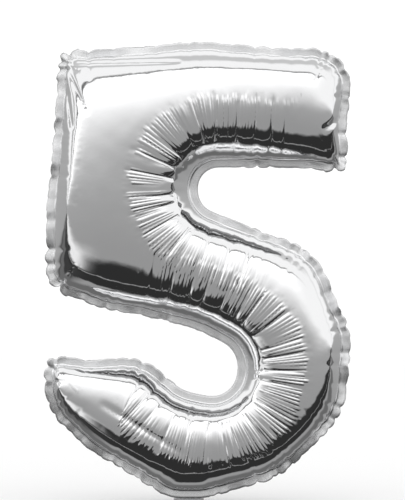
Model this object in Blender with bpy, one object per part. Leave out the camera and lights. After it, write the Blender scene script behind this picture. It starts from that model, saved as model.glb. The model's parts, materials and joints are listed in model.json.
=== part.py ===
"""Foil number balloon: the figure 5 of the 16 inch class, blown up with air.

Two foil films are heat-sealed together round the figure. They run out at the bottom into a flat
filling tail, and two thin plastic films inside the tail and the neck make a self-closing valve.

Frame, in metres: +X to the reader's right, +Y away from the reader, +Z up. The films meet in the
plane Y = 0. X = 0 is the middle of the width and Z = 0 the lowest point. Design numbers below are
millimetres, in the outline's own frame, whose Z = 0 is the lowest edge of the sealed margin.

A film that folds or flexes is divided at its fold line, so that each side can be a rigid body.
"""

import math
from typing import NamedTuple

import bpy
import numpy as np
from mathutils import Vector
from mathutils.geometry import delaunay_2d_cdt

MM = 0.001

# Films. Real foil is 0.03 mm and real valve film 0.05 mm; both are drawn thicker, to be solids.
FOIL = 0.4
VALVE_FILM = 0.2
GAP = 0.3

# Sealed margin and inflation
MARGIN = 7.0
FULLNESS = 0.88  # 1 makes every straight stroke a round tube

# Filling tail and its fold, straight down being 0 degrees
TAIL_WIDTH = 24.0
TAIL_LENGTH = 50.0
TAIL_CORNER = 3.0
TAIL_TUCK = 118.0
FOLD_REACH = 2.2  # from the fold axis to the cut edges on either side of it

# Valve films
NECK_X = -7.0
VALVE_WIDTH = 20.0
VALVE_LENGTH = 55.0
VALVE_CORNER = 4.0
INLET_LENGTH = 14.0

# The neck channel holds the films apart enough for the valve to pass
NECK_HALF = 15.5
NECK_FADE = 7.0
NECK_TOP = 20.0

# Mesh density
ARC_STEP = math.radians(15)
LONGEST_EDGE = 15.0
NECK_EDGE = 5.0
INNER_RINGS = (MARGIN + 1.6, MARGIN + 6.5)
RING_CROWDING = 0.97  # a ring point nearer the outline than this share of its inset is dropped
LATTICE = 15.0
LATTICE_START = INNER_RINGS[-1] + 0.55 * LATTICE
CLOSEST = 1.3
ONLY_INSIDE = 1  # the triangulation's output type
SAME_POINT = 1e-4

# Distances of the faces from the plane Y = 0, from the middle outward
VALVE_FACE = GAP / 2
NECK_FACE = VALVE_FACE + VALVE_FILM + GAP
MARGIN_FACE = GAP / 2
NECK_LIFT = NECK_FACE - MARGIN_FACE

# The tucked tail's lower edge is the lowest point, which sets the fold axis and the margin above Z = 0
TUCK = math.radians(TAIL_TUCK)
FOLD_Z = (NECK_FACE + FOIL) * math.sin(TUCK) + FOLD_REACH * math.cos(TUCK)
MARGIN_Z = FOLD_Z + FOLD_REACH

# Driving dimensions of the figure: X from its middle, Z up from the lowest edge of its margin
HALF_WIDTH = 124.0
CROWN = 368.0  # the bar's top, at its middle
SHOULDER = 358.0  # the bar's two upper corners
BAR_UNDERSIDE = 263.0
NOTCH_X = 0.0  # how far in the notch between bar and bowl reaches
NOTCH_GAP = 32.0
BOWL_TOP = 216.0
BOWL_SIDE = 132.0  # where the bowl is widest
BOWL_END = 114.0  # the upper corner of the bowl's free end
COUNTER_FLOOR = 78.0
COUNTER_X = 34.0  # how far to the right the counter reaches
COUNTER_ROOF = 150.0
STEM_FOOT = 168.0

# Corners of the figure, clockwise as the reader sees it: X, Z and the radius that rounds the corner
FIGURE = (
    # top bar: upper left corner, crown, upper right corner, lower right corner, underside
    (12 - HALF_WIDTH, SHOULDER, 12),
    (0, CROWN, 120),
    (HALF_WIDTH, SHOULDER, 32),
    (HALF_WIDTH - 4, BAR_UNDERSIDE - 3, 10),
    (56, BAR_UNDERSIDE, 48),
    # notch between the bar and the bowl
    (NOTCH_X, BAR_UNDERSIDE + 2, 16),
    (NOTCH_X, BAR_UNDERSIDE + 2 - NOTCH_GAP, 18),
    # outside of the bowl, down to the lowest edge, where the tail leaves
    (50, BOWL_TOP, 32),
    (96, BOWL_TOP - 18, 60),
    (HALF_WIDTH, BOWL_SIDE, 56),
    (HALF_WIDTH - 5, BOWL_SIDE / 2, 70),
    (68, 16, 70),
    (6, 0, 32),
    (-22, 0, 28),
    (-86, 36, 64),
    # end of the bowl
    (-HALF_WIDTH, 72, 48),
    (2 - HALF_WIDTH, BOWL_END, 11),
    (-42, BOWL_END - 1, 44),
    # counter inside the bowl
    (-13, COUNTER_FLOOR + 8, 32),
    (COUNTER_X - 6, COUNTER_FLOOR, 20),
    (COUNTER_X, COUNTER_FLOOR + 40, 22),
    (-4, COUNTER_ROOF - 14, 48),
    (-76, COUNTER_ROOF, 48),
    # stem: lower left corner and its slightly bulging left side
    (2 - HALF_WIDTH, STEM_FOOT, 26),
    (-HALF_WIDTH, 226, 160),
)

FILM_SILVER = (0.80, 0.81, 0.82, 1.0)
LINING_SILVER = (0.66, 0.67, 0.69, 1.0)
VALVE_MILKY = (0.86, 0.88, 0.89, 1.0)
VALVE_ALPHA = 0.6

SIDES = ((-1, "front"), (1, "rear"))


def clear_scene():
    for item in list(bpy.data.objects):
        bpy.data.objects.remove(item, do_unlink=True)


# ---------------------------------------------------------------- plane geometry, in millimetres


def fillet(before, corner, after):
    """Points along the arc that rounds a corner."""
    here = Vector(corner[:2])
    radius = corner[2]
    back = (Vector(before[:2]) - here).normalized()
    onward = (Vector(after[:2]) - here).normalized()
    half = back.angle(onward) / 2
    centre = here + (back + onward).normalized() * radius / math.sin(half)
    first = here + back * radius / math.tan(half) - centre
    last = here + onward * radius / math.tan(half) - centre
    turn = math.atan2(first.cross(last), first.dot(last))
    steps = max(1, math.ceil(abs(turn) / ARC_STEP))
    start = math.atan2(first.y, first.x)
    angles = [start + turn * i / steps for i in range(steps + 1)]
    return [centre + radius * Vector((math.cos(a), math.sin(a))) for a in angles]


def longest_edge_at(point):
    near_neck = abs(point.x - NECK_X) < NECK_HALF + NECK_FADE and point.y < NECK_TOP
    return NECK_EDGE if near_neck else LONGEST_EDGE


def divided(loop):
    """The closed loop with its long edges cut into equal pieces."""
    points = []
    for start, end in zip(loop, loop[1:] + loop[:1]):
        length = (end - start).length
        pieces = max(1, math.ceil(length / longest_edge_at((start + end) / 2)))
        points += [start.lerp(end, i / pieces) for i in range(pieces)]
    return points


def figure_outline():
    """The outer edge of the sealed margin, with X = 0 in the middle of its width."""
    loop = []
    for i, corner in enumerate(FIGURE):
        loop += fillet(FIGURE[i - 1], corner, FIGURE[(i + 1) % len(FIGURE)])
    middle = (min(p.x for p in loop) + max(p.x for p in loop)) / 2
    return divided([Vector((p.x - middle, p.y)) for p in loop])


def inset(loop, distance):
    """A clockwise loop moved inward, along the normal at each of its points."""
    moved = []
    for i, point in enumerate(loop):
        along = (loop[(i + 1) % len(loop)] - loop[i - 1]).normalized()
        moved.append(point + distance * Vector((along.y, -along.x)))
    return moved


def thinned(loop):
    """The loop without points that crowd the one before."""
    kept = [loop[0]]
    for point in loop[1:]:
        if (point - kept[-1]).length > CLOSEST and (point - kept[0]).length > CLOSEST:
            kept.append(point)
    return kept


def distance_inside(points, loop):
    """Distance of each point from the loop, negative outside it."""
    p = np.array([tuple(q) for q in points])[:, None]
    a = np.array([tuple(q) for q in loop])
    b = np.roll(a, -1, axis=0)
    edge = b - a
    share = ((p - a) * edge).sum(2) / (edge**2).sum(1)
    nearest = a + np.clip(share, 0, 1)[..., None] * edge
    distance = np.linalg.norm(p - nearest, axis=2).min(1)
    above = (a[:, 1] > p[..., 1]) != (b[:, 1] > p[..., 1])
    rise = np.where(edge[:, 1] == 0, 1, edge[:, 1])
    crossing = a[:, 0] + (p[..., 1] - a[:, 1]) / rise * edge[:, 0]
    inside = (above & (crossing > p[..., 0])).sum(1) % 2 == 1
    return np.where(inside, distance, -distance)


def lattice_points(loop, clearance):
    """Points of a triangular lattice that lie at least this far inside the loop."""
    low_x = min(p.x for p in loop)
    high_x = max(p.x for p in loop)
    high_z = max(p.y for p in loop)
    row_height = LATTICE * math.sqrt(3) / 2
    points = []
    for row in range(math.ceil(high_z / row_height)):
        start = low_x + (row % 2) * LATTICE / 2
        columns = math.ceil((high_x - start) / LATTICE)
        points += [Vector((start + i * LATTICE, row * row_height)) for i in range(columns)]
    keep = distance_inside(points, loop) > clearance
    return [p for p, kept in zip(points, keep) if kept]


def figure_points(outline, seam):
    """Every point of the flat figure: the outline, the seam and the points inside the seam."""
    points = outline + seam
    for distance in INNER_RINGS:
        ring = inset(outline, distance)
        depth = distance_inside(ring, outline)
        points += thinned([p for p, d in zip(ring, depth) if d > RING_CROWDING * distance])
    return points + lattice_points(outline, LATTICE_START)


def triangulate(points, outline_count, seam_count):
    """Triangles over the figure that keep the outline and the seam as edges."""
    border = list(range(outline_count))
    seam = list(range(outline_count, outline_count + seam_count))
    edges = list(zip(seam, seam[1:] + seam[:1]))
    # the outline runs clockwise, and a face constraint has to run the other way
    result = delaunay_2d_cdt(points, edges, [border[::-1]], ONLY_INSIDE, SAME_POINT)
    return [tuple(p) for p in result[0]], [tuple(f) for f in result[2]]


# ---------------------------------------------------------------- shape of the inflated film


def membrane(flat, triangles, held):
    """Sag of a membrane under unit load and unit tension, pinned at the held points."""
    count = len(flat)
    stiffness = np.zeros((count, count))
    load = np.zeros(count)
    for corners in triangles:
        a, b, c = (flat[i] for i in corners)
        across = np.array([c - b, a - c, b - a])
        doubled = abs(across[0][0] * across[1][1] - across[0][1] * across[1][0])
        stiffness[np.ix_(corners, corners)] += across @ across.T / (2 * doubled)
        load[list(corners)] += doubled / 6
    free = np.flatnonzero(~held)
    sag = np.zeros(count)
    sag[free] = np.linalg.solve(stiffness[np.ix_(free, free)], load[free])
    return sag


def neck_lift(x, z):
    if z > NECK_TOP:
        return 0.0
    beyond = abs(x - NECK_X) - NECK_HALF
    return NECK_LIFT * min(1.0, max(0.0, 1 - beyond / NECK_FADE))


def inflated_heights(flat, triangles, outline):
    """Distance of each point from the plane Y = 0.

    The square root of twice the sag is a half circle across a straight stroke, and it closes
    smoothly round each end and corner.
    """
    depth = distance_inside(flat, outline)
    inside = depth > MARGIN + CLOSEST / 2
    middles = [np.mean([depth[i] for i in t]) for t in triangles]
    filled = [t for t, m in zip(triangles, middles) if m > MARGIN]
    used = np.zeros(len(flat), bool)
    used[[i for t in filled for i in t]] = True
    sag = membrane(flat, filled, ~(inside & used))
    dome = FULLNESS * np.sqrt(2 * np.maximum(sag, 0))
    lift = np.array([neck_lift(x, z) for x, z in flat])
    return MARGIN_FACE + lift + dome


# ---------------------------------------------------------------- Blender objects


def material(name, colour, roughness, metallic, alpha=1.0):
    made = bpy.data.materials.new(name)
    made.use_nodes = True
    shader = made.node_tree.nodes["Principled BSDF"]
    shader.inputs["Base Color"].default_value = colour
    shader.inputs["Roughness"].default_value = roughness
    shader.inputs["Metallic"].default_value = metallic
    shader.inputs["Alpha"].default_value = alpha
    made.diffuse_color = colour
    return made


def film_object(name, points, faces, thickness, look, parent=None):
    """A sheet that is thickened along its normals, as one closed body."""
    mesh = bpy.data.meshes.new(name)
    mesh.from_pydata([Vector(p) * MM for p in points], [], faces)
    mesh.validate()
    mesh.shade_smooth()
    mesh.materials.append(look)
    film = bpy.data.objects.new(name, mesh)
    bpy.context.scene.collection.objects.link(film)
    thicken = film.modifiers.new("film_thickness", "SOLIDIFY")
    thicken.thickness = thickness * MM
    thicken.offset = 1
    thicken.use_even_offset = True
    film.parent = parent
    return film


class Strip(NamedTuple):
    """A straight piece of film across the fold axis, from start to end in Z."""

    width: float
    start: float
    end: float
    corner: float  # rounds the two corners at the end


def film_strip(name, strip, side, face, thickness, look, parent):
    """A flat strip whose inner face lies this far from its parent's middle plane."""
    half = strip.width / 2
    ends = ((-half, strip.start), (-half, strip.end), (half, strip.end), (half, strip.start))
    corners = [(x, z, strip.corner) for x, z in ends]
    loop = [Vector(corners[0][:2])]
    loop += fillet(corners[0], corners[1], corners[2])
    loop += fillet(corners[1], corners[2], corners[3])
    loop += [Vector(corners[3][:2])]
    clockwise_from_front = strip.end > strip.start
    if clockwise_from_front == (side < 0):
        loop.reverse()
    points = [(p.x, side * face, p.y) for p in loop]
    return film_object(name, points, [range(len(points))], thickness, look, parent)


def axis_empty(name, z, tilt=0.0):
    """An empty on a fold line across the neck."""
    empty = bpy.data.objects.new(name, None)
    empty.location = Vector((NECK_X, 0, z)) * MM
    empty.rotation_euler.x = tilt
    bpy.context.scene.collection.objects.link(empty)
    return empty


def figure_shape():
    outline = figure_outline()
    seam = thinned(inset(outline, MARGIN))
    points = figure_points(outline, seam)
    flat, triangles = triangulate(points, len(outline), len(seam))
    flat = np.array(flat)
    return flat, triangles, inflated_heights(flat, triangles, outline)


def foil_panels():
    """The two inflated films of the figure, mirror images of each other."""
    flat, triangles, heights = figure_shape()
    for side, place in SIDES:
        foil = material(f"{place}_foil", FILM_SILVER, 0.10, 1.0)
        points = [(x, side * h, z + MARGIN_Z) for (x, z), h in zip(flat, heights)]
        faces = triangles if side < 0 else [t[::-1] for t in triangles]
        film_object(f"{place}_panel", points, faces, FOIL, foil)


def filling_tail():
    """The two plies and the valve's outer end, which fold together."""
    fold = axis_empty("tail_fold_axis", FOLD_Z, TUCK)
    ply = Strip(TAIL_WIDTH, -FOLD_REACH, -FOLD_REACH - TAIL_LENGTH, TAIL_CORNER)
    inlet = Strip(VALVE_WIDTH, -FOLD_REACH, -FOLD_REACH - INLET_LENGTH, VALVE_CORNER)
    for side, place in SIDES:
        foil = material(f"tail_{place}_foil", LINING_SILVER, 0.16, 1.0)
        film_strip(f"tail_{place}_ply", ply, side, NECK_FACE, FOIL, foil, fold)
        milky = material(f"inlet_{place}_plastic", VALVE_MILKY, 0.35, 0.0, VALVE_ALPHA)
        film_strip(f"valve_{place}_inlet", inlet, side, VALVE_FACE, VALVE_FILM, milky, fold)


def valve():
    """The two films in the neck and the chamber, each flexing about its lower end."""
    film = Strip(VALVE_WIDTH, 0.0, VALVE_LENGTH, VALVE_CORNER)
    for side, place in SIDES:
        milky = material(f"valve_{place}_plastic", VALVE_MILKY, 0.35, 0.0, VALVE_ALPHA)
        lift = axis_empty(f"valve_{place}_axis", MARGIN_Z)
        film_strip(f"valve_{place}_film", film, side, VALVE_FACE, VALVE_FILM, milky, lift)


def main():
    clear_scene()
    foil_panels()
    filling_tail()
    valve()


main()
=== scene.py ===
import json
import math
from typing import NamedTuple

import bpy
import numpy as np
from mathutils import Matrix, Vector
from mathutils.bvhtree import BVHTree
from mathutils.geometry import delaunay_2d_cdt


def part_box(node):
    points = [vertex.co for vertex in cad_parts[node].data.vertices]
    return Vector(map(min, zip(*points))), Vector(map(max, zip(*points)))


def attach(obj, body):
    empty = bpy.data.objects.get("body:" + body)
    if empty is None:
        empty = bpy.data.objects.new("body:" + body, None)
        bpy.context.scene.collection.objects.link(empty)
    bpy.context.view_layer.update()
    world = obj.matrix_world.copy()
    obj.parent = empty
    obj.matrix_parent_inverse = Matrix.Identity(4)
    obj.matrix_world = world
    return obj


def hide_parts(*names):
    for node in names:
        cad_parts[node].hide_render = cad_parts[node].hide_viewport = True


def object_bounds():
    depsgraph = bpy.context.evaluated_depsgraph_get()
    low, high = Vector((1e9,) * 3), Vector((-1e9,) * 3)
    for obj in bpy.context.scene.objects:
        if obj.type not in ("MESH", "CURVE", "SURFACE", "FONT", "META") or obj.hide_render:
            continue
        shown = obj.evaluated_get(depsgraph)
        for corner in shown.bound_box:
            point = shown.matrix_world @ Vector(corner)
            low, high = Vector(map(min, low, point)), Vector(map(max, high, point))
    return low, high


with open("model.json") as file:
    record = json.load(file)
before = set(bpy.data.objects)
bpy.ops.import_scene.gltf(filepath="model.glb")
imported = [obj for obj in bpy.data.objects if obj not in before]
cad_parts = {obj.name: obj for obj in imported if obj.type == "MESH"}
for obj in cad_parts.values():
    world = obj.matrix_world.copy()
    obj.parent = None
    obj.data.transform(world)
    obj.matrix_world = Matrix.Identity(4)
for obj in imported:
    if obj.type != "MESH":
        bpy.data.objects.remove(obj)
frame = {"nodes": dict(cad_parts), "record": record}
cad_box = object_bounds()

# Lengths in the film work below are in millimetres. x runs across the figure, z up it, y through it.
MM = 0.001
MARGIN = 7.0  # width of the heat-sealed margin
FILM = 0.12  # thickness a film is drawn with
GRID = 2.0  # step of the grid that the domes are solved on

RING_EDGE = 1.7  # point spacing along the seam
ACROSS_WRINKLES = 0.62  # point spacing where the film is finely wrinkled, across and along the wrinkles
ALONG_WRINKLES = 1.9
PLAIN_EDGE = 2.4  # point spacing where it's smooth
CLOTH_EDGE = 2.7  # point spacing of the mesh that the cloth simulation runs on

FAN_REACH = 48.0  # fine wrinkles end this far from an inward bend of the seam
FAN_START = 13.0  # and they begin about this far from it,
START_DRIFT = 8.0  # give or take this much
FAN_EDGE = 4.0  # the fine mesh goes on this far beyond the wrinkles
FAN_RUN_ON = 50.0  # a fan goes on this far along the straight seam beyond its bend
FINE_PITCH = 3.0  # spacing of the fine wrinkles
FINE_HEIGHT = 0.62  # height of an ordinary one
FACET_PITCH = 17.0  # spacing of the radial creases, with a swollen facet between each two
FACET_HEIGHT = 0.55  # height of an ordinary facet
BENT_INWARD = 0.006  # the seam bends inward where it turns more than this, in radians a millimetre
LEAST_TURN = 1.0  # a bend that turns less than this in all, in radians, has no fan
FAINTEST_FAN = 0.02  # the film counts as plain where a fan is weaker

# Gathers across the margin, at full strength
GATHER_HALF = 9.0  # half the width of one, measured along the seam
PINCH = 2.7  # how far it pulls the margin's edge in
FOLD = 2.0  # how far it lifts the margin out of its plane
VALLEY = 1.0  # how deep it dents the dome

SKIN_LIFT = 0.02  # a piece's inner skin stands this far off its surface
WRINKLE_ROOM = 0.55  # the smooth dome's top is this far inside the CAD panel's
SEAL_START = 0.8  # the knurl begins this far out from the seam
KNURL_PITCH = 1.1
FIGURE_FOIL, FOLD_FOIL, TAIL_FOIL = 0.93, 0.92, 0.9  # brightness of the foil
FIGURE_SEED, TAIL_SEED, TAIL_RIPPLE_SEED = 5, 8, 11


def placed(name, data):
    """A new object in the scene."""
    made = bpy.data.objects.new(name, data)
    bpy.context.scene.collection.objects.link(made)
    return made


# ---- outline of the figure


def margin_edge(node):
    """Outer edge of the sealed margin: ordered (x, z) points round the rim of the CAD panel."""
    reach, steep, weld = 1.3 * MM, 0.3, 2e-5
    mesh = node.data
    mesh.calc_loop_triangles()
    points = np.array([v.co for v in mesh.vertices])
    corners = points[np.array([t.vertices for t in mesh.loop_triangles])]
    normals = np.cross(corners[:, 1] - corners[:, 0], corners[:, 2] - corners[:, 0])
    normals /= np.linalg.norm(normals, axis=1)[:, None] + 1e-20
    rim = (np.abs(corners[:, :, 1]).max(1) < reach) & (np.abs(normals[:, 1]) < steep)
    flat = corners[rim][:, :, [0, 2]].reshape(-1, 2)
    cells, index = np.unique(np.round(flat / weld).astype(int), axis=0, return_inverse=True)
    spots = cells * weld
    links = [set() for _ in spots]
    for a, b, c in index.reshape(-1, 3):
        p, q = max(((a, b), (b, c), (c, a)), key=lambda e: np.linalg.norm(spots[e[0]] - spots[e[1]]))
        along = spots[q] - spots[p]
        length = np.linalg.norm(along)
        along /= length
        share = (spots - spots[p]) @ along
        off = np.abs((spots - spots[p]) @ np.array([-along[1], along[0]]))
        on = np.flatnonzero((off < 3 * weld) & (share > -2 * weld) & (share < length + 2 * weld))
        on = on[np.argsort(share[on])]
        for first, second in zip(on[:-1], on[1:]):
            links[first].add(second)
            links[second].add(first)
    start = int(np.argmin(spots[:, 1]))
    loop, before, here = [start], start, min(links[start])
    while here != start:
        loop.append(here)
        before, here = here, next(k for k in links[here] if k != before)
    loop = spots[loop] / MM
    x, z = loop.T
    turns_left = np.sum(x * np.roll(z, -1) - np.roll(x, -1) * z) > 0
    return loop if turns_left else loop[::-1]


def spaced_out(points, closest):
    """Indices of the points of a loop that are at least this far from the one before."""
    keep = [0]
    for i in range(1, len(points)):
        if np.hypot(*(points[i] - points[keep[-1]])) > closest:
            keep.append(i)
    if np.hypot(*(points[keep[-1]] - points[0])) < closest:
        keep.pop()
    return np.array(keep)


def eased(values, passes):
    """Values round a loop, smoothed."""
    for _ in range(passes):
        values = 0.25 * np.roll(values, 1, 0) + 0.5 * values + 0.25 * np.roll(values, -1, 0)
    return values


def smooth_loop(loop, spacing, crowd=1.5, passes=40):
    """The loop as evenly spaced points on a smooth curve."""
    loop = loop[spaced_out(loop, crowd)]
    a, b, c, d = (np.roll(loop, shift, 0) for shift in (1, 0, -1, -2))
    t = np.linspace(0, 1, 12, endpoint=False)[:, None, None]
    ab, bc, cd = (np.linalg.norm(q - p, axis=1)[:, None] for p, q in ((a, b), (b, c), (c, d)))
    leave = ((b - a) / ab * bc + (c - b) / bc * ab) / (ab + bc) * bc
    arrive = ((c - b) / bc * cd + (d - c) / cd * bc) / (bc + cd) * bc
    curve = (2 * t**3 - 3 * t**2 + 1) * b + (t**3 - 2 * t**2 + t) * leave
    curve += (3 * t**2 - 2 * t**3) * c + (t**3 - t**2) * arrive
    dense = eased(curve.transpose(1, 0, 2).reshape(-1, 2), passes)
    steps = np.linalg.norm(np.roll(dense, -1, 0) - dense, axis=1)
    run = np.concatenate([[0], np.cumsum(steps)])
    count = int(round(run[-1] / spacing))
    wanted = np.arange(count) * run[-1] / count
    closed = np.vstack([dense, dense[:1]])
    return np.stack([np.interp(wanted, run, closed[:, k]) for k in (0, 1)], 1)


def along(loop):
    """Unit tangents of a loop."""
    step = np.roll(loop, -1, 0) - np.roll(loop, 1, 0)
    return step / np.linalg.norm(step, axis=1)[:, None]


def inward(loop):
    """Unit normals of a counterclockwise loop, pointing in."""
    tangent = along(loop)
    return np.stack([-tangent[:, 1], tangent[:, 0]], 1)


def bend(loop, passes):
    """Curvature round a counterclockwise loop, negative where it bends inward."""
    before = loop - np.roll(loop, 1, 0)
    after = np.roll(loop, -1, 0) - loop
    turn = np.arctan2(before[:, 0] * after[:, 1] - before[:, 1] * after[:, 0], (before * after).sum(1))
    span = np.linalg.norm(before, axis=1) + np.linalg.norm(after, axis=1)
    return eased(2 * turn / span, passes)


def depth_inside(points, loop, block=4000):
    """Distance from the loop, positive inside it."""
    edge = np.roll(loop, -1, 0) - loop
    square = (edge**2).sum(1)
    slope = edge[:, 0] / np.where(edge[:, 1] == 0, 1, edge[:, 1])
    depth = np.empty(len(points))
    for k in range(0, len(points), block):
        p = points[k : k + block, None]
        share = np.clip(((p - loop) * edge).sum(2) / square, 0, 1)
        distance = np.sqrt(((p - loop - share[..., None] * edge) ** 2).sum(2)).min(1)
        crosses = (loop[:, 1] > p[..., 1]) != (np.roll(loop[:, 1], -1) > p[..., 1])
        right = crosses & (loop[:, 0] + (p[..., 1] - loop[:, 1]) * slope > p[..., 0])
        depth[k : k + block] = np.where(right.sum(1) % 2 == 1, distance, -distance)
    return depth


def nearest(points, spots, block=4000):
    """Index of the spot nearest each point."""
    found = np.empty(len(points), int)
    for k in range(0, len(points), block):
        found[k : k + block] = ((points[k : k + block, None] - spots) ** 2).sum(2).argmin(1)
    return found


def smoothstep(value, low, high):
    t = np.clip((value - low) / (high - low), 0, 1)
    return t * t * (3 - 2 * t)


# ---- dome of the inflated film


class Grid:
    """A regular grid over the figure, with the depth inside the seam at its nodes."""

    def __init__(self, loop, step, pad):
        self.step = step
        self.low = loop.min(0) - pad
        count = np.ceil((loop.max(0) + pad - self.low) / step).astype(int) + 1
        axes = [self.low[k] + step * np.arange(count[k]) for k in (0, 1)]
        self.points = np.stack(np.meshgrid(*axes, indexing="ij"), -1)
        self.depth = depth_inside(self.points.reshape(-1, 2), loop).reshape(count)

    def read(self, field, points):
        """The field at the points, by cubic interpolation."""
        place = (points - self.low) / self.step
        cell = np.floor(place).astype(int)
        t = place - cell
        outer = ((2 - t) * t - 1) * t / 2, (t - 1) * t * t / 2
        inner = ((3 * t - 5) * t * t + 2) / 2, ((4 - 3 * t) * t + 1) * t / 2
        weights = np.stack([outer[0], *inner, outer[1]], -1)
        total = np.zeros(len(points))
        for i in range(4):
            for j in range(4):
                x = np.clip(cell[:, 0] + i - 1, 0, field.shape[0] - 1)
                z = np.clip(cell[:, 1] + j - 1, 0, field.shape[1] - 1)
                total += weights[:, 0, i] * weights[:, 1, j] * field[x, z]
        return total


BESIDE = ((1, 0), (-1, 0), (1, 1), (-1, 1))  # shift and axis of a node's four neighbours


def sag_of_membrane(grid, most_steps=600):
    """Sag of a membrane under unit load, held at the seam, by conjugate gradients."""
    depth = grid.depth
    inside = depth > 1e-6
    beside = [np.roll(depth, shift, axis) for shift, axis in BESIDE]
    wet = [d > 1e-6 for d in beside]
    reach = [np.where(w, 1.0, np.clip(depth / (depth - d + 1e-12), 0.05, 1)) for w, d in zip(wet, beside)]
    diagonal = sum(np.where(w, 1.0, 1 / r) for w, r in zip(wet, reach))

    def stiff(sag):
        total = diagonal * sag
        for (shift, axis), w in zip(BESIDE, wet):
            total = total - np.where(w, np.roll(sag, shift, axis), 0)
        return np.where(inside, total, 0)

    sag = np.zeros_like(depth)
    left = np.where(inside, grid.step**2, 0.0)
    scale = np.where(inside, 1 / diagonal, 0)
    search = scale * left
    size = (left * search).sum()
    for _ in range(most_steps):
        change = stiff(search)
        length = size / (search * change).sum()
        sag += length * search
        left -= length * change
        smaller = (left * scale * left).sum()
        if smaller < 1e-12:
            break
        search = scale * left + smaller / size * search
        size = smaller
    return sag


def carried_out(field, known, rounds=12):
    """The field carried a little way past the nodes where it is known."""
    field = np.where(known, field, 0.0)
    for _ in range(rounds):
        total = sum(np.roll(field * known, s, a) for s, a in BESIDE)
        count = sum(np.roll(known, s, a).astype(int) for s, a in BESIDE)
        fresh = ~known & (count > 0)
        field = np.where(fresh, total / np.maximum(count, 1), field)
        known = known | fresh
    return field


class Dome:
    """Smooth height of the inflated film over the plane of its seam."""

    def __init__(self, seam, top):
        self.grid = Grid(seam, GRID, 10)
        depth = self.grid.depth
        known = depth > 1
        sag = sag_of_membrane(self.grid)
        self.ratio = carried_out(sag / np.maximum(depth, 1), known)
        self.scale = top / math.sqrt(2 * sag.max())

    def height(self, points, depth):
        sag = np.maximum(self.grid.read(self.ratio, points) * depth, 0)
        return self.scale * np.sqrt(2 * np.where(depth > 0, sag, 0))


# ---- mesh of one film

SIDE_RADIUS = 42.0  # typical radius of the dome's side, which spaces the rings near the seam
RING_DEPTH = 20.0  # the rings go this deep inside the seam
SHALLOW_RINGS = 12.0  # the rings stop here where the film is finely wrinkled
SPREAD_OUT = 0.5  # share of the arc by which the rings are pushed out when laid flat
ONLY_INSIDE = 1  # the triangulation's output type
SAME_POINT = 1e-7


def arc_of(depth):
    return SIDE_RADIUS * np.arccos(1 - depth / SIDE_RADIUS)


def depth_of(arc):
    return SIDE_RADIUS * (1 - np.cos(arc / SIDE_RADIUS))


def laid_out(ring, normals, depth):
    """A ring pushed outward, as if the dome were being laid flat."""
    push = SPREAD_OUT * ((arc_of(RING_DEPTH) - RING_DEPTH) - (arc_of(depth) - depth))
    return ring - normals * push


def lattice(low, high, edge):
    rows = np.arange(low[1], high[1], edge * math.sqrt(3) / 2)
    made = []
    for i, z in enumerate(rows):
        x = np.arange(low[0] + (i % 2) * edge / 2, high[0], edge)
        made.append(np.stack([x, np.full_like(x, z)], 1))
    return np.vstack(made)


class Film:
    """Points and triangles of one flat film: its margin, and rings and a lattice inside the seam."""

    def __init__(self, outline, dome, ring_edge, plain_edge, fans=()):
        seam = outline + inward(outline) * MARGIN
        normals = inward(outline)
        places, laid, depths, counts = [], [], [], []

        def add(points, flat, depth):
            places.append(points)
            laid.append(flat)
            depths.append(np.broadcast_to(depth, len(points)))
            counts.append(len(points))

        margin_rings = max(2, round(MARGIN / ring_edge))
        for distance in np.arange(margin_rings + 1) * MARGIN / margin_rings:
            ring = outline + normals * distance
            keep = spaced_out(ring, 0.6 * ring_edge)
            add(ring[keep], laid_out(ring, normals, 0)[keep], distance - MARGIN)
        rings = round(arc_of(RING_DEPTH) / ring_edge)
        for depth in depth_of(np.arange(1, rings + 1) * arc_of(RING_DEPTH) / rings):
            ring = seam + normals * depth
            keep = depth_inside(ring, seam) > 0.985 * depth - 0.02
            if depth > SHALLOW_RINGS:
                keep &= ~wrinkled(ring, fans)
            keep = np.flatnonzero(keep)
            keep = keep[spaced_out(ring[keep], 0.6 * ring_edge)]
            add(ring[keep], laid_out(ring, normals, depth)[keep], depth)
        low, high = seam.min(0), seam.max(0)
        deep = RING_DEPTH + 0.6 * ring_edge
        plain = lattice(low, high, plain_edge)
        plain_depth = dome.grid.read(dome.grid.depth, plain)
        keep = (plain_depth > deep) & ~wrinkled(plain, fans)
        add(plain[keep], plain[keep], plain_depth[keep])
        for fan in fans:
            small = fan.mesh_points()
            small = small[nearest_fan(small, fans) == fans.index(fan)]
            small_depth = dome.grid.read(dome.grid.depth, small)
            keep = small_depth > SHALLOW_RINGS + 0.6 * ring_edge
            add(small[keep], small[keep], small_depth[keep])
        self.points, self.laid, self.depth = np.vstack(places), np.vstack(laid), np.concatenate(depths)
        before = sum(counts[:margin_rings])
        self.margin = np.arange(before)
        self.seam = np.arange(before, before + counts[margin_rings])
        border = list(range(counts[0]))
        fixed = np.stack([self.seam, np.roll(self.seam, -1)], 1).tolist()
        made = delaunay_2d_cdt([Vector(p) for p in self.laid], fixed, [border], ONLY_INSIDE, SAME_POINT)
        order = np.array([ids[0] if ids else -1 for ids in made[3]])
        self.triangles = order[np.array(made[2])]
        assert (self.triangles >= 0).all(), "the film's border crosses itself"


# ---- wrinkles


def between(lines, c):
    """The cell between two lines that each c is in, and how far across the cell it is."""
    cell = np.clip(np.searchsorted(lines, c) - 1, 0, len(lines) - 2)
    return cell, (c - lines[cell]) / (lines[cell + 1] - lines[cell])


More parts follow.
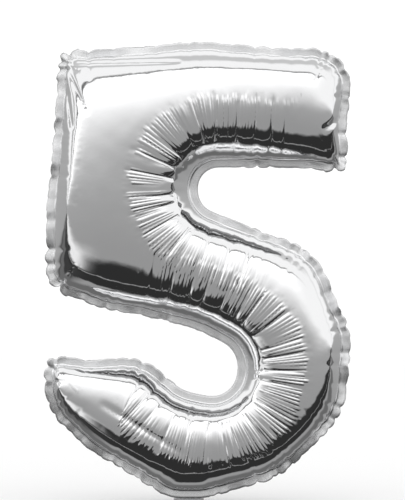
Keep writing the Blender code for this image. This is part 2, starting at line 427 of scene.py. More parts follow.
class Fan:
    """Radial creases and fine wrinkles round one inward bend of the seam.

    A point's place is its distance from the bend and c, its place along the curve that runs
    FAN_REACH outside it.
    """

    def __init__(self, spots, tangents, curvature, weight, random):
        self.spots, self.tangents, self.curvature, self.weight = spots, tangents, curvature, weight
        steps = np.linalg.norm(np.diff(spots, axis=0), axis=1)
        widened = steps * (1 + FAN_REACH * (curvature[1:] + curvature[:-1]) / 2)
        self.c = np.concatenate([[0], np.cumsum(widened)])
        self.length = self.c[-1]
        self.fine_lines = self.lines(FINE_PITCH, 0.22, random)
        count = len(self.fine_lines)
        self.fine_height = FINE_HEIGHT * random.uniform(0.45, 1.15, count)
        self.fine_height = self.fine_height * (random.random(count) > 0.1)
        drift = eased(random.normal(size=count), 3)
        drifted = FAN_START + START_DRIFT * (0.5 + np.clip(1.3 * drift, -0.9, 1.2))
        self.fine_start = drifted + random.uniform(-9, 3, count)
        scatter = 0.02 * random.normal(size=count)
        sway = 0.05 * eased(random.normal(size=count), 6)
        self.fine_end = FAN_REACH * (1 + scatter + sway)
        self.facet_lines = self.lines(FACET_PITCH, 0.35, random)
        count = len(self.facet_lines)
        self.facet_height = FACET_HEIGHT * random.uniform(0.5, 1.2, count)
        self.crease_depth = random.uniform(0.3, 0.9, count)
        self.crease_end = FAN_REACH * random.uniform(0.75, 1.12, count)

    def lines(self, pitch, jitter, random):
        count = int((self.length + 40) / pitch)
        return -20 + pitch * (np.arange(count) + jitter * random.uniform(-1, 1, count))

    def locate(self, points):
        """Distance, c and strength of the fan at the points."""
        near = nearest(points, self.spots)
        gap = points - self.spots[near]
        offset = (gap * self.tangents[near]).sum(1)
        distance = np.linalg.norm(gap, axis=1)
        bent = self.curvature[near]
        c = self.c[near] + offset * (1 + FAN_REACH * bent) / (1 + distance * bent)
        past_end = ((near == 0) | (near == len(self.spots) - 1)) & (np.abs(offset) > 2)
        return distance, c, np.where(past_end, 0, self.weight[near])

    def mesh_points(self):
        """Points over the fan in rows along its bend, close together across the wrinkles."""
        inward_normals = np.stack([-self.tangents[:, 1], self.tangents[:, 0]], 1)
        rows = []
        for i, distance in enumerate(np.arange(SHALLOW_RINGS, FAN_REACH + FAN_EDGE, ALONG_WRINKLES)):
            c = np.arange((i % 2) * ACROSS_WRINKLES / 2, self.length, ACROSS_WRINKLES)
            moved = self.spots + inward_normals * distance
            row = np.stack([np.interp(c, self.c, moved[:, k]) for k in (0, 1)], 1)
            row = row[self.locate(row)[0] > 0.985 * distance]
            rows.append(row[spaced_out(row, 0.6 * ACROSS_WRINKLES)])
        return np.vstack(rows)

    def height(self, distance, c):
        """How far the film stands off its smooth dome."""
        cell, t = between(self.fine_lines, c)
        arch = 0.6 - np.abs(2 * t - 1) ** 3
        start, end = self.fine_start[cell], self.fine_end[cell]
        swell = smoothstep(distance, start, start + 11) * (1 - smoothstep(distance, end - 2.2, end))
        taller = 0.6 + 1.4 * np.clip((distance - start) / (end - start), 0, 1) ** 2
        total = self.fine_height[cell] * np.clip(arch, -0.4, 0.6) * swell * taller
        cell, t = between(self.facet_lines, c)
        t = np.clip(t, 0, 1)
        body = smoothstep(distance, 1, 10) * (1 - smoothstep(distance, FAN_REACH * 0.8, FAN_REACH * 1.15))
        total += self.facet_height[cell] * (4 * t * (1 - t) - 0.5) * body
        for line, depth, end in zip(self.facet_lines, self.crease_depth, self.crease_end):
            off = np.abs(c - line) * (0.35 + 0.65 * np.clip(distance / FAN_REACH, 0, 1))
            run = smoothstep(distance, 0, 5) * (1 - smoothstep(distance, end - 8, end))
            total -= depth * np.exp(-off / 0.9) * run
        return total


def nearest_fan(points, fans):
    """Index of the fan that each point lies in, or -1."""
    best = np.full(len(points), FAN_REACH + FAN_EDGE)
    found = np.full(len(points), -1)
    for i, fan in enumerate(fans):
        distance, _, strength = fan.locate(points)
        nearer = (strength > FAINTEST_FAN) & (distance < best)
        best = np.where(nearer, distance, best)
        found[nearer] = i
    return found


def wrinkled(points, fans):
    return nearest_fan(points, fans) >= 0


def inward_bends(seam, random):
    """A fan for each stretch where the seam bends inward."""
    curvature = -bend(seam, 120)
    tangents = along(seam)
    strong = curvature > BENT_INWARD
    start = int(np.argmin(strong))
    order = np.roll(np.arange(len(seam)), -start)
    flagged = strong[order].astype(int)
    begins = np.flatnonzero(np.diff(flagged) == 1) + 1
    ends = np.flatnonzero(np.diff(flagged) == -1) + 1
    spacing = np.linalg.norm(seam[1] - seam[0])
    more = int(FAN_RUN_ON / spacing)
    fans = []
    for begin, end in zip(begins, ends):
        turned = curvature[order[begin:end]].sum() * spacing
        if turned < LEAST_TURN:
            continue
        place = np.arange(begin - more, end + more)
        ids = order[place % len(seam)]
        past = np.maximum(begin - place, place - end) * spacing
        weight = 1 - smoothstep(past, 0.55 * FAN_RUN_ON, FAN_RUN_ON - 2)
        fans.append(Fan(seam[ids], tangents[ids], np.maximum(curvature[ids], 0.0005), weight, random))
    return fans


class Puckers:
    """Gathers across the outer seam: the margin folds and pinches in, and the dome creases."""

    def __init__(self, seam, random):
        self.spots, self.tangents = seam, along(seam)
        self.out = -inward(seam)
        spacing = np.linalg.norm(seam[1] - seam[0])
        self.s = np.arange(len(seam)) * spacing
        length = spacing * len(seam)
        curvature = bend(seam, 60)
        self.weight = smoothstep(curvature, -0.016, -0.001)
        at = [6.0]
        while at[-1] < length - 20:
            at.append(at[-1] + random.uniform(5, 13) * random.choice([1.0, 1.9]))
        self.at = np.array(at)
        count = len(at)
        tight = np.interp(self.at, self.s, np.clip(curvature, 0, 0.05) / 0.05)
        strength = random.uniform(0.25, 1.15, count) * (0.5 + 1.1 * tight)
        strength *= np.interp(self.at, self.s, self.weight)
        self.pinch = PINCH * strength
        self.fold = FOLD * strength * random.choice([-1, 1], count)
        self.valley = VALLEY * strength
        self.reach = 6 + 30 * random.random(count) * strength * (1 + tight)
        self.slow = eased(random.normal(size=len(seam)), 30) * 6 * self.weight

    def move(self, points, depth):
        """Outward, through-thickness and along-normal moves at the points."""
        near = nearest(points, self.spots)
        s = self.s[near] + ((points - self.spots[near]) * self.tangents[near]).sum(1)
        rim = np.clip(-depth / MARGIN, 0, 1)
        out = np.zeros(len(points))
        through = self.slow[near] * (0.15 + rim) * (depth < 6) * np.clip(1 - depth / 6, 0, 1)
        normal = np.zeros(len(points))
        for at, pinch, fold, valley, reach in zip(self.at, self.pinch, self.fold, self.valley, self.reach):
            off = np.abs(s - at)
            near_line = off < GATHER_HALF
            if not near_line.any():
                continue
            o, d, r = off[near_line], depth[near_line], rim[near_line]
            cusp = np.exp(-o / 1.7)
            lobe = np.cos(np.clip(o / GATHER_HALF, 0, 1) * math.pi) * 0.5 - 0.5
            edge = (0.45 + 0.75 * r) * (1 - smoothstep(d, 0, 7))
            out[near_line] -= pinch * (cusp + 0.25 * lobe) * edge
            folded = fold * np.exp(-((o / 2.1) ** 2)) * (0.2 + 0.8 * r)
            through[near_line] += folded * (1 - smoothstep(d, 0, 4))
            inside = smoothstep(d, -1, 2) * (1 - smoothstep(d, 0.2 * reach, reach))
            normal[near_line] -= valley * np.exp(-o / (1.1 + 0.05 * np.maximum(d, 0))) * inside
        return self.out[near] * out[:, None], through, normal


class Crease(NamedTuple):
    """A soft groove in the front film. Its ends are shares of the figure's width and height."""

    start: tuple
    end: tuple
    depth: float
    width: float


CREASES = (
    # pinch at the upper left corner: a fold along the top and two short ones down into the stem
    Crease((0.09, 0.945), (0.45, 0.945), 1.5, 1.7),
    Crease((0.08, 0.93), (0.15, 0.83), 1.4, 2.0),
    Crease((0.07, 0.92), (0.10, 0.80), 1.1, 1.8),
    # the leaf in the free end of the bowl
    Crease((0.19, 0.215), (0.46, 0.105), 1.7, 2.4),
    # short folds at the end of the bar
    Crease((0.97, 0.83), (0.90, 0.80), 1.2, 2.2),
    Crease((0.97, 0.72), (0.89, 0.73), 1.1, 2.0),
)


def grooves(points):
    """How far the creases sink the film at the points."""
    low, high = (np.array([corner.x, corner.z]) / MM for corner in cad_box)
    total = np.zeros(len(points))
    for crease in CREASES:
        start, end = (low + (high - low) * np.array(place) for place in (crease.start, crease.end))
        length = np.linalg.norm(end - start)
        run = (end - start) / length
        share = np.clip((points - start) @ run / length, 0, 1)
        off = (points - start) @ np.array([-run[1], run[0]])
        total += crease.depth * np.exp(-((off / crease.width) ** 2)) * np.sqrt(4 * share * (1 - share))
    return total


# ---- cloth simulation

CLOTH_FRAMES = 14
CLOTH_SCALE = 0.01  # the cloth runs ten times life size
MOST_CLOTH_MOVE = 3.0  # it moves no point of the film further than this


def weights(thing, name, values, steps=40):
    """A vertex group holding the values, rounded to a few steps."""
    group = thing.vertex_groups.new(name=name)
    level = np.round(values * steps).astype(int)
    for step in range(1, level.max() + 1):
        group.add(np.flatnonzero(level == step).tolist(), step / steps, "REPLACE")


def cloth_moves(film, dome, seam, neck_x, random):
    """Moves of the two films' points when pressure fills them: arrays for the front and the rear."""
    height = dome.height(film.points, film.depth)
    count = len(film.points)
    shared = np.zeros(count, bool)
    shared[film.margin] = True
    shared[film.seam] = True
    inner = np.flatnonzero(~shared)
    rear_ids = np.arange(count)
    rear_ids[inner] = count + np.arange(len(inner))
    x, z = film.points.T
    start = np.vstack([np.stack([x, -height, z], 1), np.stack([x, height, z], 1)[inner]])
    double = ~np.isin(film.triangles, film.margin).any(1)
    faces = np.vstack([film.triangles, rear_ids[film.triangles[double]][:, ::-1]])
    depth = np.concatenate([film.depth, film.depth[inner]])
    curvature = bend(seam, 30)[nearest(film.points, seam)]
    curvature = np.concatenate([curvature, curvature[inner]])
    seeded = start.copy()
    seeded[:, 1] += random.normal(size=len(start)) * np.where(depth < 0, 0.5, 0.15)

    mesh = bpy.data.meshes.new("cloth")
    mesh.from_pydata((seeded * CLOTH_SCALE).tolist(), [], faces.tolist())
    cloth = placed("cloth", mesh)
    outward = smoothstep(curvature, -0.012, 0.004)
    weights(cloth, "slack", np.clip(1 - depth / 25, 0, 1) * outward)
    hold = np.where(depth < 0, 0.0, np.clip((depth - 12) / 22, 0, 1) ** 2)
    flat = np.vstack([film.points, film.points[inner]])
    hold = np.maximum(hold, 0.5 * (1 - outward) * (depth < 8))
    weights(cloth, "held", np.maximum(hold, neck_share(flat, neck_x)))
    weights(cloth, "filled", (depth > 0.5).astype(float))

    modifier = cloth.modifiers.new("cloth", "CLOTH")
    settings = modifier.settings
    settings.quality = 4
    settings.mass = 0.05
    settings.tension_stiffness = 40
    settings.compression_stiffness = 40
    settings.shear_stiffness = 10
    settings.bending_stiffness = 0.02
    settings.air_damping = 2
    settings.use_pressure = True
    settings.uniform_pressure_force = 4
    settings.vertex_group_pressure = "filled"
    settings.vertex_group_shrink = "slack"
    settings.shrink_min = 0
    settings.shrink_max = -0.2
    settings.vertex_group_mass = "held"
    settings.pin_stiffness = 1
    settings.effector_weights.gravity = 0
    modifier.collision_settings.use_collision = False
    modifier.point_cache.frame_start = 1
    modifier.point_cache.frame_end = CLOTH_FRAMES
    scene = bpy.context.scene
    for step in range(1, CLOTH_FRAMES + 1):
        scene.frame_set(step)
    shaped = cloth.evaluated_get(bpy.context.evaluated_depsgraph_get())
    end = np.empty(3 * len(start), np.float32)
    shaped.data.vertices.foreach_get("co", end)
    scene.frame_set(1)
    bpy.data.objects.remove(cloth)
    move = end.reshape(-1, 3) / CLOTH_SCALE - start
    far = np.linalg.norm(move, axis=1)[:, None]
    move *= np.minimum(1, MOST_CLOTH_MOVE / np.maximum(far, 1e-9))
    return move[:count], move[rear_ids]


def carried_over(coarse, moves, film, passes=5):
    """The moves read at a finer film's points, then smoothed a little."""
    flat = [(x, z, 0.0) for x, z in coarse.laid]
    tree = BVHTree.FromPolygons(flat, coarse.triangles.tolist())
    hits = [tree.find_nearest((x, z, 0.0)) for x, z in film.laid]
    spot = np.array([hit[0][:2] for hit in hits])
    corners = coarse.triangles[[hit[2] for hit in hits]]
    a, b, c = (coarse.laid[corners[:, k]] for k in range(3))
    whole = cross(b - a, c - a)
    share_b = cross(spot - a, c - a) / whole
    share_c = cross(b - a, spot - a) / whole
    shares = np.stack([1 - share_b - share_c, share_b, share_c], 1)
    edges = edges_of(film.triangles)
    result = []
    for move in moves:
        read = (move[corners] * shares[..., None]).sum(1)
        for _ in range(passes):
            read = neighbour_mean(read, edges)
        result.append(read)
    return result


def cross(a, b):
    return a[:, 0] * b[:, 1] - a[:, 1] * b[:, 0]


def sides_of(triangles):
    return np.vstack([triangles[:, [0, 1]], triangles[:, [1, 2]], triangles[:, [2, 0]]])


def edges_of(triangles):
    return np.unique(np.sort(sides_of(triangles), 1), axis=0)


def neighbour_mean(values, edges):
    """Each value averaged with its neighbours'."""
    count = len(values)
    total = values.copy()
    number = np.ones(count)
    for near, far in (edges.T, edges.T[::-1]):
        number += np.bincount(near, minlength=count)
        for k in range(values.shape[1]):
            total[:, k] += np.bincount(near, values[far, k], count)
    return total / number[:, None]


def normals_of(points, triangles):
    a, b, c = (points[triangles[:, k]] for k in range(3))
    face = np.cross(b - a, c - a)
    normal = np.zeros_like(points)
    for k in range(3):
        for axis in range(3):
            normal[:, axis] += np.bincount(triangles[:, k], face[:, axis], len(points))
    return normal / (np.linalg.norm(normal, axis=1)[:, None] + 1e-12)


# ---- materials


class Wiring:
    """Shorthand for a shader tree."""

    def __init__(self, tree):
        self.nodes, self.links = tree.nodes, tree.links

    def link(self, source, target):
        self.links.new(source, target)

    def node(self, kind, **inputs):
        made = self.nodes.new(kind)
        for name, value in inputs.items():
            made.inputs[name.replace("_", " ")].default_value = value
        return made

    def axes(self, kind):
        """x, y and z of the place, in one kind of texture coordinates."""
        place = self.node("ShaderNodeTexCoord")
        split = self.node("ShaderNodeSeparateXYZ")
        self.link(place.outputs[kind], split.inputs[0])
        return [split.outputs[k] for k in "XYZ"]

    def maths(self, operation, *values):
        made = self.node("ShaderNodeMath")
        made.operation = operation
        for socket, value in zip(made.inputs, values):
            if isinstance(value, (int, float)):
                socket.default_value = value
            else:
                self.link(value, socket)
        return made.outputs[0]

    def step(self, value, low, high, to_low=0.0, to_high=1.0):
        """A smooth step from to_low to to_high as the value goes from low to high."""
        made = self.node("ShaderNodeMapRange", From_Min=low, From_Max=high, To_Min=to_low, To_Max=to_high)
        made.interpolation_type = "SMOOTHSTEP"
        self.link(value, made.inputs["Value"])
        return made.outputs["Result"]

    def mixed(self, share, first, second):
        """first where the share is 0, the number second where it's 1"""
        gain = self.maths("MULTIPLY", share, self.maths("SUBTRACT", second, first))
        return self.maths("ADD", first, gain)


class Look(Wiring):
    """A node material being put together."""

    def __init__(self, name):
        self.material = bpy.data.materials.new(name)
        self.material.use_nodes = True
        super().__init__(self.material.node_tree)
        self.shader = self.nodes["Principled BSDF"]

    def noise(self, scale, detail, stretch=(1, 1, 1)):
        """Noise in millimetres of the object's own space."""
        place = self.node("ShaderNodeTexCoord")
        mapping = self.node("ShaderNodeMapping")
        mapping.inputs["Scale"].default_value = tuple(s / scale / MM for s in stretch)
        self.link(place.outputs["Object"], mapping.inputs["Vector"])
        noise = self.node("ShaderNodeTexNoise", Scale=1.0, Detail=detail)
        self.link(mapping.outputs["Vector"], noise.inputs["Vector"])
        return noise.outputs["Fac"]

    def ranged(self, value, low, high):
        made = self.node("ShaderNodeMapRange", To_Min=low, To_Max=high)
        self.link(value, made.inputs["Value"])
        return made.outputs["Result"]

    def tint(self, share, first, second):
        """The base colour, between two."""
        made = self.node("ShaderNodeMix")
        made.data_type = "RGBA"
        made.inputs["A"].default_value = (*first, 1)
        made.inputs["B"].default_value = (*second, 1)
        self.link(share, made.inputs["Factor"])
        self.link(made.outputs["Result"], self.shader.inputs["Base Color"])

    def bump(self, height, distance):
        made = self.node("ShaderNodeBump", Distance=distance * MM, Strength=1.0)
        self.link(height, made.inputs["Height"])
        self.link(made.outputs["Normal"], self.shader.inputs["Normal"])


def foil_look(name, bright):
    """Metallised film: a mirror with faint ripples, and the heat-seal's diamond knurl where it's sealed."""
    look = Look(name)
    look.shader.inputs["Metallic"].default_value = 1
    darker = (bright * 0.95, bright * 0.955, bright * 0.965)
    look.tint(look.noise(45, 2), (bright, bright, bright * 1.005), darker)
    sealed = look.node("ShaderNodeAttribute")
    sealed.attribute_name = "margin"
    sealed = sealed.outputs["Fac"]
    rough = look.ranged(look.noise(9, 4), 0.035, 0.075)
    look.link(look.maths("ADD", rough, look.maths("MULTIPLY", sealed, 0.16)), look.shader.inputs["Roughness"])
    ripple = look.noise(5.5, 3)
    x, _, z = look.axes("Object")
    turns = 2 * math.pi / (KNURL_PITCH * MM)
    up = look.maths("MULTIPLY", look.maths("ADD", x, z), turns)
    down = look.maths("MULTIPLY", look.maths("SUBTRACT", x, z), turns)
    knurl = look.maths("MULTIPLY", look.maths("SINE", up), look.maths("SINE", down))
    knurl = look.maths("MULTIPLY", look.maths("MULTIPLY", knurl, sealed), 0.9)
    look.bump(look.maths("ADD", look.maths("MULTIPLY", ripple, 0.6), knurl), 0.06)
    return look.material


def plastic_look(name):
    """Thin milky polyethylene."""
    look = Look(name)
    look.tint(look.noise(6, 3), (0.86, 0.88, 0.90), (0.74, 0.77, 0.80))
    look.link(look.ranged(look.noise(3, 3), 0.25, 0.45), look.shader.inputs["Roughness"])
    look.link(look.ranged(look.noise(12, 2), 0.5, 0.7), look.shader.inputs["Alpha"])
    look.bump(look.noise(2.5, 3, (1, 1, 0.3)), 0.1)
    return look.material


# ---- pieces


def shell(inner, normals, triangles):
    """A closed thin sheet: its inner skin, an outer skin FILM further out, and a rim round the border."""
    count = len(inner)
    skins = np.vstack([inner + normals * SKIN_LIFT, inner + normals * (SKIN_LIFT + FILM)])
    runs = sides_of(triangles)
    shared = np.isin(runs[:, 0] * count + runs[:, 1], runs[:, 1] * count + runs[:, 0])
    here, after = runs[~shared].T
    first = np.stack([here, after, after + count], 1)
    second = np.stack([here, after + count, here + count], 1)
    return skins, np.vstack([triangles[:, ::-1], triangles + count, first, second])


def piece(name, points, faces, body, slot, look, replaced, **shares):
    """A visible piece from points in millimetres. Each share is a value per point for its material."""
    mesh = bpy.data.meshes.new(name)
    mesh.from_pydata((points * MM).tolist(), [], faces.tolist())
    mesh.shade_smooth()
    mesh.materials.append(look)
    for share, values in shares.items():
        mesh.attributes.new(share, "FLOAT", "POINT").data.foreach_set("value", values.astype(np.float32))
    made = placed(name, mesh)
    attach(made, body)
    if replaced:
        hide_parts(replaced)
    return made


# Each film stands this far off the seam's plane in the neck, which is room for the valve to part
NECK_OPEN = 0.8


def neck_share(points, neck_x):
    """1 in the neck, falling to 0 round it."""
    across = 1 - smoothstep(np.abs(points[:, 0] - neck_x), 13, 24)
    return across * (1 - smoothstep(points[:, 1], 12, 22))


def neck_gap(points, neck_x):
    """How far each film stands off the seam's plane."""
    across = 1 - smoothstep(np.abs(points[:, 0] - neck_x), 11, 17)
    return NECK_OPEN * across * (1 - smoothstep(points[:, 1], 12, 20))


def figure_film(name, side, film, dome, move, puckers, fans, neck_x):
    height = dome.height(film.points, film.depth) + neck_gap(film.points, neck_x)
    x, z = film.points.T
    smooth = np.stack([x, side * height, z], 1)
    faces = film.triangles if side < 0 else film.triangles[:, ::-1]
    normals = normals_of(smooth, faces)
    loose = 1 - neck_share(film.points, neck_x)
    shape = smooth + move * loose[:, None]
    out, through, gather = puckers.move(film.points, film.depth)
    shape[:, 0] += out[:, 0] * loose
    shape[:, 2] += out[:, 1] * loose
    shape[:, 1] += through * loose
    stand = gather * loose
    if side < 0:
        stand = stand - grooves(film.points) * (film.depth > 0)
    for fan in fans:
        distance, c, strength = fan.locate(film.points)
        stand = stand + fan.height(distance, c) * strength * (film.depth > 0)
    shape += normals * stand[:, None]
    skins, faces = shell(shape, normals_of(shape, faces), faces)
    sealed = np.tile((film.depth < -SEAL_START).astype(float), 2)
    look = foil_look(f"{name}_look", FIGURE_FOIL)
    return piece(f"{name}_film", skins, faces, "figure", name, look, name, margin=sealed)


def figure(random):
    outline = smooth_loop(margin_edge(frame["nodes"]["front_panel"]), RING_EDGE)
    seam = outline + inward(outline) * MARGIN
    top = -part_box("front_panel")[0].y / MM - WRINKLE_ROOM
    dome = Dome(seam, top)
    neck_x = joint("tail_fold")["pos_m"][0] / MM
    fans = {side: inward_bends(seam, random) for side in (-1, 1)}
    film = Film(outline, dome, RING_EDGE, PLAIN_EDGE, fans[-1])
    moves = np.zeros((2, len(film.points), 3))
    coarse = Film(smooth_loop(outline, CLOTH_EDGE, passes=2), dome, CLOTH_EDGE, CLOTH_EDGE)
    moves = carried_over(coarse, cloth_moves(coarse, dome, seam, neck_x, random), film)
    puckers = Puckers(seam, random)
    figure_film("front_panel", -1, film, dome, moves[0], puckers, fans[-1], neck_x)
    figure_film("rear_panel", 1, film, dome, moves[1], puckers, fans[1], neck_x)


def joint(name):
    return next(j for j in frame["record"]["behaviour"]["joints"] if j["name"] == name)


TAIL_SEAL = 2.0  # width of the seal along each side of the tail


class Strip:
    """The frame of a strip of film: its hinge, the way it runs, and the way its rear face looks."""

    def __init__(self, joint_name, *nodes):
        self.hinge = np.array(joint(joint_name)["pos_m"]) / MM
        points = np.array([v.co for node in nodes for v in frame["nodes"][node].data.vertices]) / MM
        run = points.mean(0) - self.hinge
        run[0] = 0
        self.run = run / np.linalg.norm(run)
        self.rear = np.array([0, -self.run[2], self.run[1]])
        away = (points - self.hinge) @ self.run
        self.near, self.far = away.min(), away.max()
        self.half = np.abs(points[:, 0] - self.hinge[0]).max()

    def grid(self, start, edge, corner):
        """Points (across, along) of the strip, with its far corners rounded, and its triangles."""
        rows = int((self.far - start) / edge) + 1
        columns = int(2 * self.half / edge) + 1
        along_strip = np.linspace(start, self.far, rows)
        cut = np.clip(along_strip - (self.far - corner), 0, corner)
        half = self.half - (corner - np.sqrt(corner**2 - cut**2))
        across = np.linspace(-1, 1, columns) * half[:, None]
        places = np.stack([across, np.repeat(along_strip[:, None], columns, 1)], -1).reshape(-1, 2)
        i = np.arange(rows * columns).reshape(rows, columns)
        a, b, c, d = i[:-1, :-1].ravel(), i[:-1, 1:].ravel(), i[1:, 1:].ravel(), i[1:, :-1].ravel()
        triangles = np.vstack([np.stack([a, b, c], 1), np.stack([a, c, d], 1)])
        return places, triangles

    def place(self, places, off):
        """Points in space, off towards the rear face."""
        across, run = places.T
        sideways = np.outer(across, (1, 0, 0))
        return self.hinge + sideways + np.outer(run, self.run) + np.outer(off, self.rear)


def strip_piece(name, strip, start, edge, corner, off, body, slot, look, side, **shares):
    places, triangles = strip.grid(start, edge, corner)
    shape = strip.place(places, off(places))
    normals = normals_of(shape, triangles)
    if (normals @ strip.rear).mean() * side < 0:
        triangles, normals = triangles[:, ::-1], -normals
    skins, faces = shell(shape, normals, triangles)
    values = {share: np.tile(value(places), 2) for share, value in shares.items()}
    return piece(name, skins, faces, body, slot, look, slot, **values)


def ripple(places, random, size, lengths=(4, 17), waves=6):
    """A few crossing waves over a strip."""
    total = np.zeros(len(places))
    for _ in range(waves):
        direction = random.normal(size=2)
        length = random.uniform(*lengths)
        phase = random.uniform(0, 2 * math.pi)
        total += np.sin(places @ direction / np.linalg.norm(direction) * 2 * math.pi / length + phase)
    return size * total / waves


def tail(random):
    """The tail's two films, sealed down both sides, and the valve's inlet between them."""
    strip = Strip("tail_fold", "tail_front_ply", "tail_rear_ply")
    inlet = Strip("tail_fold", "valve_front_inlet", "valve_rear_inlet")
    for place, side in (("front", -1), ("rear", 1)):
        wave = int(random.integers(1 << 30))

        def off(places, side=side, wave=wave):
            sealed = smoothstep(np.abs(places[:, 0]), strip.half - TAIL_SEAL - 1, strip.half - TAIL_SEAL)
            begin = smoothstep(places[:, 1], 0.3, strip.near)
            mouth = smoothstep(places[:, 1], 20, strip.far)
            body = 0.2 + 0.42 * begin * (1 - sealed) + 0.25 * mouth * (1 - sealed)
            shared = ripple(places, np.random.default_rng(TAIL_RIPPLE_SEED), 0.9)
            shared = shared * smoothstep(places[:, 1], 3, 12)
            own = np.abs(ripple(places, np.random.default_rng(wave), 0.3)) * begin * (1 - sealed)
            return side * (body + own) + shared * (places[:, 1] > inlet.far)

        def sealed_share(places):
            return (np.abs(places[:, 0]) > strip.half - TAIL_SEAL).astype(float)

        node = f"tail_{place}_ply"
        look = foil_look(f"{node}_look", TAIL_FOIL)
        name = f"{node}_film"
        strip_piece(name, strip, 0.0, 0.8, 3, off, "tail", node, look, side, margin=sealed_share)
        node = f"valve_{place}_inlet"

        def inlet_off(places, side=side):
            return side * (0.16 + 0.05 * np.sin(places[:, 0] * 0.9 + places[:, 1] * 0.4))

        look = plastic_look(f"{node}_look")
        strip_piece(f"{node}_film", inlet, inlet.near, 0.9, 4, inlet_off, "tail", node, look, side)


def neck_fold():
    """The short tongue of film between the figure's margin and the fold, rounded about the fold's axis."""
    strip = Strip("tail_fold", "tail_front_ply", "tail_rear_ply")
    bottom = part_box("valve_front_film")[0].z / MM
    middle = strip.hinge[2]
    angles = np.linspace(0, math.pi, 13)
    top, waist, tip = 0.94, 0.88, 0.46  # half the tongue's thickness, from the neck down to the fold
    profile = [(-top, bottom - 0.1), (-waist, bottom - 0.9)]
    profile += [(-tip * math.cos(a), middle - tip * math.sin(a)) for a in angles]
    profile += [(waist, bottom - 0.9), (top, bottom - 0.1)]
    columns = np.linspace(-1, 1, 49) * strip.half
    rows = len(profile)
    points = []
    for across in columns:
        gathered = 1 + 0.10 * math.sin(1.9 * across) * math.sin(0.7 * across + 1)
        points += [(strip.hinge[0] + across, y * gathered, z) for y, z in profile]
    faces = []
    for i in range(len(columns) - 1):
        for j in range(rows):
            a, b = i * rows + j, i * rows + (j + 1) % rows
            faces += [(a, b, b + rows), (a, b + rows, a + rows)]
    last = (len(columns) - 1) * rows
    faces += [(0, j + 1, j) for j in range(1, rows - 1)]
    faces += [(last, last + j, last + j + 1) for j in range(1, rows - 1)]
    look = foil_look("neck_fold_look", FOLD_FOIL)
    sealed = np.ones(len(points))
    points, faces = np.array(points), np.array(faces)
    return piece("neck_fold", points, faces, "figure", "front_panel", look, None, margin=sealed)


def valve():
    """The valve's two films. They stand upright, whatever the slope from hinge to middle."""
    for place, side in (("front", -1), ("rear", 1)):
        node = f"valve_{place}_film"
        strip = Strip(f"valve_{place}_lift", node)
        strip.run = np.array([0, 0, 1.0])
        strip.rear = np.array([0, 1.0, 0])

        def off(places, side=side):
            return side * (0.16 + 0.04 * np.sin(places[:, 0] * 0.7) * smoothstep(places[:, 1], 5, 20))

        look = plastic_look(f"{node}_look")
        body = f"valve_{place}"
        strip_piece(f"{node}_sheet", strip, strip.near, 1.2, 4, off, body, node, look, side)


# ---- stage, light and camera

# Metres, from here on
FLOOR_TONE = 0.93
FLOOR_GAP = 0.003  # the floor is this far under the balloon
CAMERA_DISTANCE = 2.2
VIEW_HEIGHT = 0.4  # how much of the seam's plane the picture takes in
AIM_RIGHT = 0.004  # the picture's middle, measured from the balloon's
AIM_UP = 0.016

# Panels of the studio that the film mirrors. Angles are degrees up from the camera's direction, on over
# the top to 180 and down under the floor to -180. Tone is brightness on screen: 0 is black, 1 is white.
LEFT, RIGHT = -1, 1


class Panel(NamedTuple):
    start: float
    start_blur: float
    end: float
    end_blur: float
    tone: float
    side: int = 0


PLAIN_LIGHT = 1.1
SCREEN_GAMMA = 2.2
ROOM_BELOW, ROOM_ABOVE = 0.6, 0.8  # tone of the room round the panels
PANELS = (
    # softbox over the camera, its frame, and the white ceiling beyond
    Panel(22, 28, 65, 1, 1.12),
    Panel(66, 1, 68, 1, 0.5),
    Panel(70, 1, 95, 5, 1.0),
    # dark skirt of the table, with a slit in it
    Panel(-92, 2, -42, 4, 0.2),
    Panel(-70, 1, -68, 1, 0.65),
    # to the left, a black flag low down and a white card above it
    Panel(-150, 15, -75, 5, 0.25, LEFT),
    Panel(-65, 5, -35, 10, 0.95, LEFT),
    Panel(62, 2, 68, 2, 0.4, LEFT),
    # to the right, a tall white card
    Panel(10, 20, 120, 15, 1.0, RIGHT),
    # behind the balloon, a second softbox and the far side of the table's skirt
    Panel(118, 5, 150, 8, 1.0),
    Panel(-140, 6, -108, 6, 0.42),
)


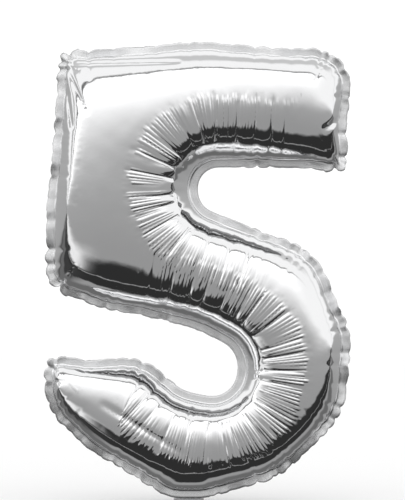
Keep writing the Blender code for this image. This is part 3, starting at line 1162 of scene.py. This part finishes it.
def studio_reflections():
    """The studio round the film, as the film mirrors it. The camera and the floor see plain white light."""
    world = bpy.data.worlds.new("studio")
    bpy.context.scene.world = world
    world.use_nodes = True
    world.node_tree.nodes.clear()
    wire = Wiring(world.node_tree)
    x, y, z = wire.axes("Generated")
    angle = wire.maths("ARCTAN2", z, wire.maths("MULTIPLY", y, -1.0))
    degrees = wire.maths("MULTIPLY", angle, 180 / math.pi)
    sides = {
        LEFT: wire.step(wire.maths("MULTIPLY", x, -1.0), 0.5, 0.85),
        RIGHT: wire.step(x, 0.5, 0.85),
    }
    tone = wire.step(z, -0.5, 1, ROOM_BELOW, ROOM_ABOVE)
    for panel in PANELS:
        begun = wire.step(degrees, panel.start - panel.start_blur, panel.start + panel.start_blur)
        ended = wire.step(degrees, panel.end - panel.end_blur, panel.end + panel.end_blur)
        share = wire.maths("MULTIPLY", begun, wire.maths("SUBTRACT", 1.0, ended))
        if panel.side:
            share = wire.maths("MULTIPLY", share, sides[panel.side])
        tone = wire.mixed(share, tone, panel.tone)
    room = wire.node("ShaderNodeBackground")
    wire.link(wire.maths("POWER", tone, SCREEN_GAMMA), room.inputs["Color"])
    plain = wire.node("ShaderNodeBackground", Color=(1, 1, 1, 1), Strength=PLAIN_LIGHT)
    path = wire.node("ShaderNodeLightPath")
    choose = wire.node("ShaderNodeMixShader")
    wire.link(path.outputs["Is Glossy Ray"], choose.inputs[0])
    wire.link(plain.outputs[0], choose.inputs[1])
    wire.link(room.outputs[0], choose.inputs[2])
    wire.link(choose.outputs[0], wire.node("ShaderNodeOutputWorld").inputs[0])


def floor():
    mesh = bpy.data.meshes.new("floor")
    low = cad_box[0].z - FLOOR_GAP
    corners = [(x, y, low) for x, y in ((-3, -3), (3, -3), (3, 3), (-3, 3))]
    mesh.from_pydata(corners, [], [(0, 1, 2, 3)])
    made = placed("floor", mesh)
    look = Look("floor_look")
    look.shader.inputs["Roughness"].default_value = 0.9
    look.shader.inputs["Base Color"].default_value = (FLOOR_TONE,) * 3 + (1,)
    mesh.materials.append(look.material)
    made.visible_glossy = False


def camera():
    data = bpy.data.cameras.new("camera")
    made = placed("camera", data)
    data.sensor_width = 36
    data.lens = data.sensor_width * CAMERA_DISTANCE / VIEW_HEIGHT
    middle = (cad_box[0] + cad_box[1]) / 2
    made.location = (middle.x + AIM_RIGHT, -CAMERA_DISTANCE, middle.z + AIM_UP)
    made.rotation_euler = (math.pi / 2, 0, 0)
    bpy.context.scene.camera = made


figure(np.random.default_rng(FIGURE_SEED))
neck_fold()
tail(np.random.default_rng(TAIL_SEED))
valve()
floor()
studio_reflections()
camera()
bpy.context.scene.view_settings.view_transform = "Standard"
